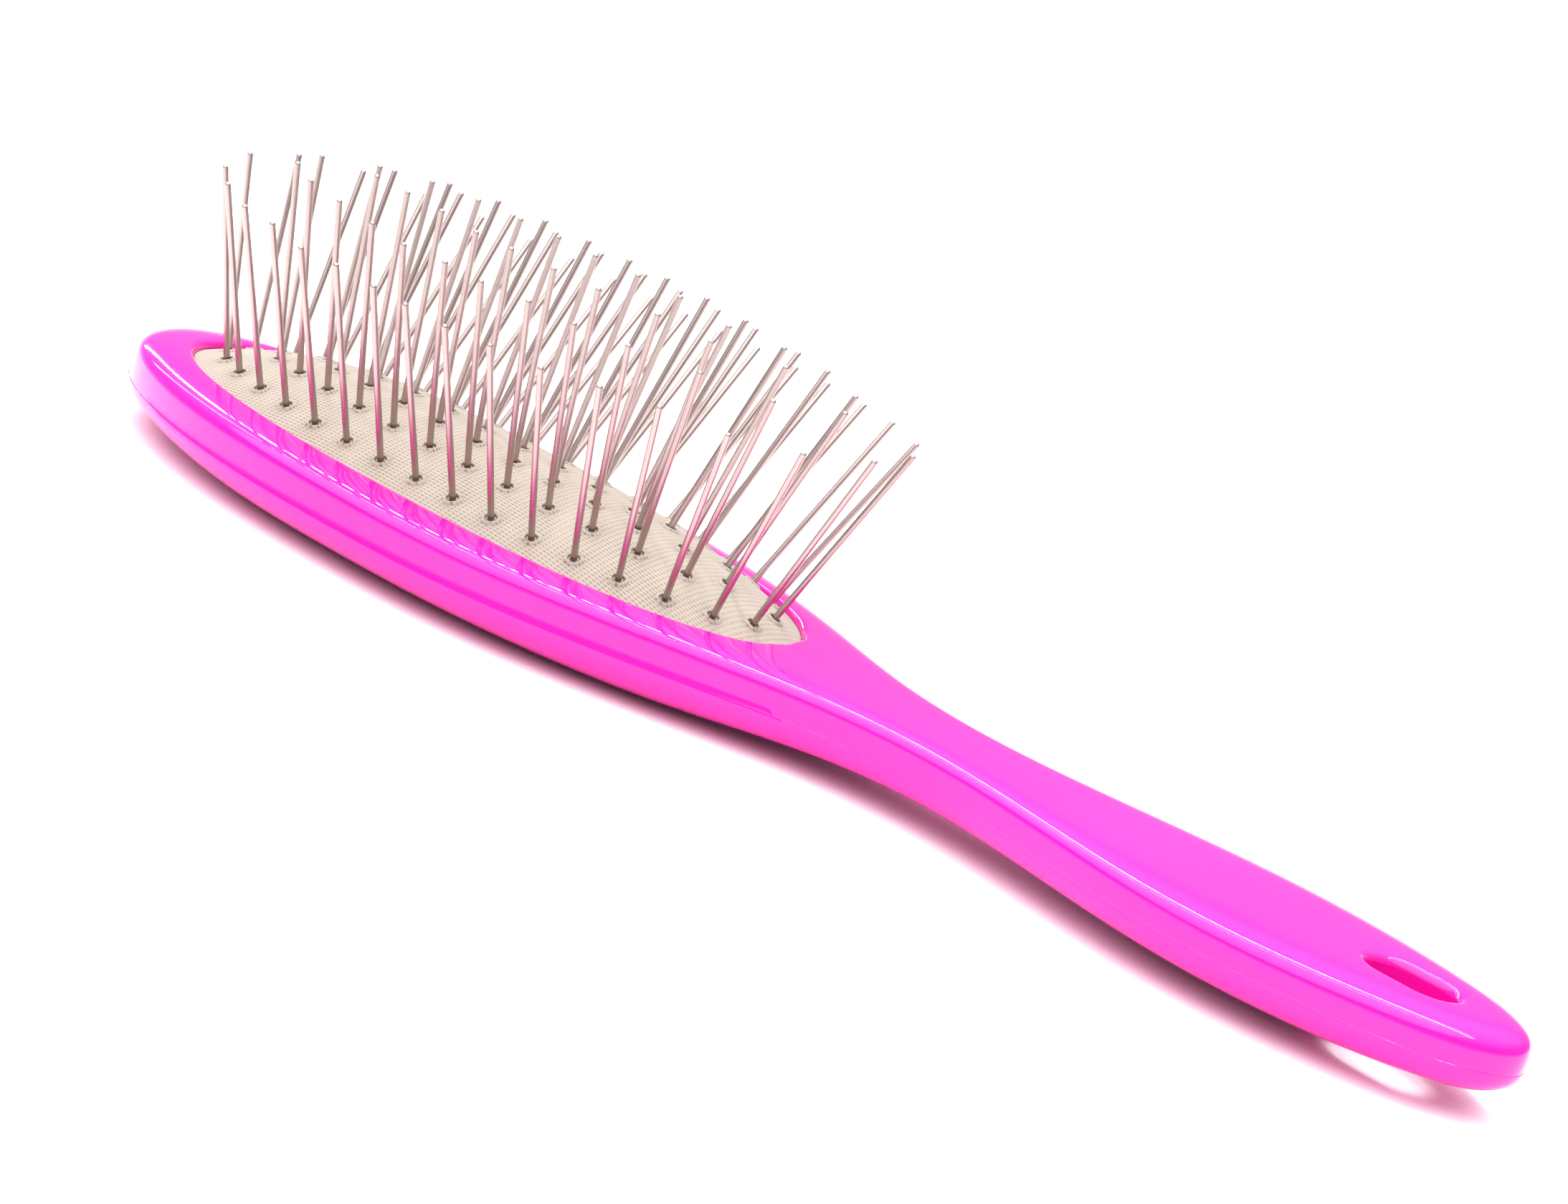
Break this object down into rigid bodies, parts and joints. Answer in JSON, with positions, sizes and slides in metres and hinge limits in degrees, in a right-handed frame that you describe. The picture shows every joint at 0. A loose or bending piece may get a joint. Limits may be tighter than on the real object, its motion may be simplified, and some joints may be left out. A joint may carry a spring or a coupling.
{
  "type": "pin brush",
  "caption": "Oval grooming brush: a moulded handle and head, a domed rubber cushion that gives, and rows of straight steel wire pins standing on it.",
  "frame": {"origin": "middle of the brush's length and width, at the level of the flat on its back, which it lies on", "axes": "+X along the handle towards its end, +Y across the brush, +Z the way the pins point"},
  "size_m": [0.2246, 0.0676, 0.0475],
  "materials": {
    "handle_plastic": "glossy hot pink",
    "cushion_face": "matt cream with a fine woven texture",
    "pin_wire": "polished steel wire"
  },
  "bodies": {
    "handle_and_cushion": {"handle": "handle_plastic", "cushion_pad": "cushion_face"},
    "middle_pins": {"pin_middle_01": "pin_wire", "pin_middle_02": "pin_wire", "pin_middle_03": "pin_wire", "pin_middle_04": "pin_wire", "pin_middle_05": "pin_wire", "pin_middle_06": "pin_wire", "pin_middle_07": "pin_wire", "pin_middle_08": "pin_wire"},
    "third_pins": {"pin_third_01": "pin_wire", "pin_third_02": "pin_wire", "pin_third_03": "pin_wire", "pin_third_04": "pin_wire", "pin_third_05": "pin_wire", "pin_third_06": "pin_wire", "pin_third_07": "pin_wire", "pin_third_08": "pin_wire", "pin_third_09": "pin_wire", "pin_third_10": "pin_wire", "pin_third_11": "pin_wire", "pin_third_12": "pin_wire", "pin_third_13": "pin_wire", "pin_third_14": "pin_wire", "pin_third_15": "pin_wire", "pin_third_16": "pin_wire", "pin_third_17": "pin_wire", "pin_third_18": "pin_wire", "pin_third_19": "pin_wire", "pin_third_20": "pin_wire"},
    "second_pins": {"pin_pair_second_01": "pin_wire", "pin_pair_second_02": "pin_wire", "pin_pair_second_03": "pin_wire", "pin_pair_second_04": "pin_wire", "pin_pair_second_05": "pin_wire", "pin_pair_second_06": "pin_wire", "pin_pair_second_07": "pin_wire", "pin_pair_second_08": "pin_wire", "pin_pair_second_09": "pin_wire", "pin_pair_second_10": "pin_wire", "pin_pair_second_11": "pin_wire", "pin_pair_second_12": "pin_wire", "pin_pair_second_13": "pin_wire"},
    "outer_pins": {"pin_pair_outer_01": "pin_wire", "pin_pair_outer_02": "pin_wire", "pin_pair_outer_03": "pin_wire", "pin_pair_outer_04": "pin_wire", "pin_pair_outer_05": "pin_wire", "pin_pair_outer_06": "pin_wire", "pin_pair_outer_07": "pin_wire", "pin_pair_outer_08": "pin_wire", "pin_pair_outer_09": "pin_wire", "pin_pair_outer_10": "pin_wire", "pin_pair_outer_11": "pin_wire", "pin_pair_outer_12": "pin_wire", "pin_pair_outer_13": "pin_wire", "pin_pair_outer_14": "pin_wire", "pin_pair_outer_15": "pin_wire", "pin_pair_outer_16": "pin_wire", "pin_pair_outer_17": "pin_wire"}
  },
  "joints": [
    {"name": "cushion_press", "type": "slide", "parent": "handle_and_cushion", "child": "middle_pins", "axis": [0, 0, 1], "range_m": [-0.003, 0], "stiffness_N_per_m": 4000, "deforming": ["cushion_pad"]},
    {"name": "third_oval_press", "type": "slide", "parent": "handle_and_cushion", "child": "third_pins", "axis": [0, 0, 1], "range_m": [-0.0028, 0]},
    {"name": "second_oval_press", "type": "slide", "parent": "handle_and_cushion", "child": "second_pins", "axis": [0, 0, 1], "range_m": [-0.0022, 0]},
    {"name": "outer_oval_press", "type": "slide", "parent": "handle_and_cushion", "child": "outer_pins", "axis": [0, 0, 1], "range_m": [-0.0011, 0]}
  ],
  "couplings": [
    {"joint": "third_oval_press", "follows": "cushion_press", "ratio": 0.88},
    {"joint": "second_oval_press", "follows": "cushion_press", "ratio": 0.66},
    {"joint": "outer_oval_press", "follows": "cushion_press", "ratio": 0.32}
  ]
}
